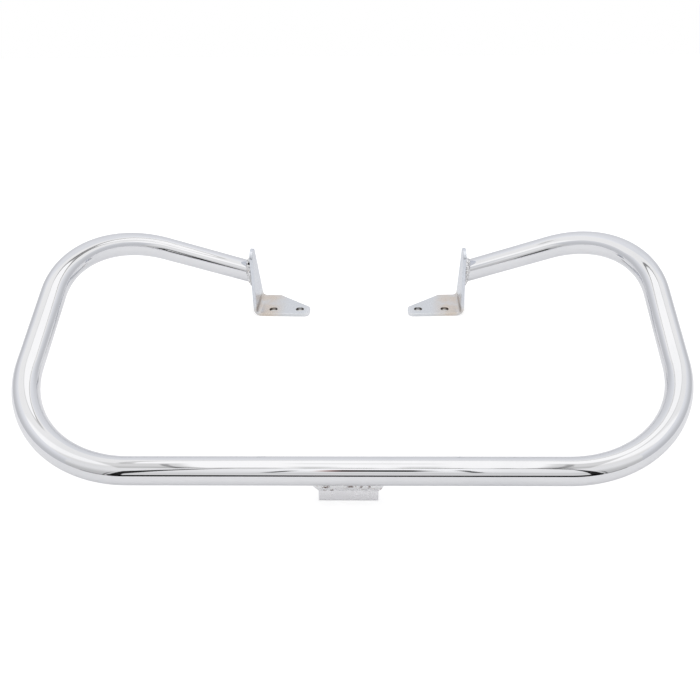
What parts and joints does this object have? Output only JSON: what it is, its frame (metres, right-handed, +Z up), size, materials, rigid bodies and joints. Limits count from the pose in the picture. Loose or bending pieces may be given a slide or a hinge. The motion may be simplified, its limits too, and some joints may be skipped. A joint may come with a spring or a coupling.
{
  "type": "motorcycle crash bars",
  "caption": "Chrome-plated bent-tube engine guard that loops out on both sides, with a folded, drilled foot bracket welded to each end and an angle bracket under the middle.",
  "frame": {"origin": "middle of the lower bracket's two bolt holes, on its underside", "axes": "+X to the right across the motorcycle, +Y to the rear, +Z up"},
  "size_m": [0.804, 0.5001, 0.1648],
  "materials": {
    "tube_chrome": "mirror-polished chrome plate",
    "bracket_chrome": "chrome plate over flat steel, slightly wavy and less polished",
    "weld_chrome": "chrome plate over rippled weld beads"
  },
  "bodies": {
    "root": {"main_tube": "tube_chrome", "left_foot_bracket": "bracket_chrome", "right_foot_bracket": "bracket_chrome", "lower_bracket": "bracket_chrome", "left_end_weld": "weld_chrome", "right_end_weld": "weld_chrome", "lower_weld": "weld_chrome"}
  },
  "joints": []
}
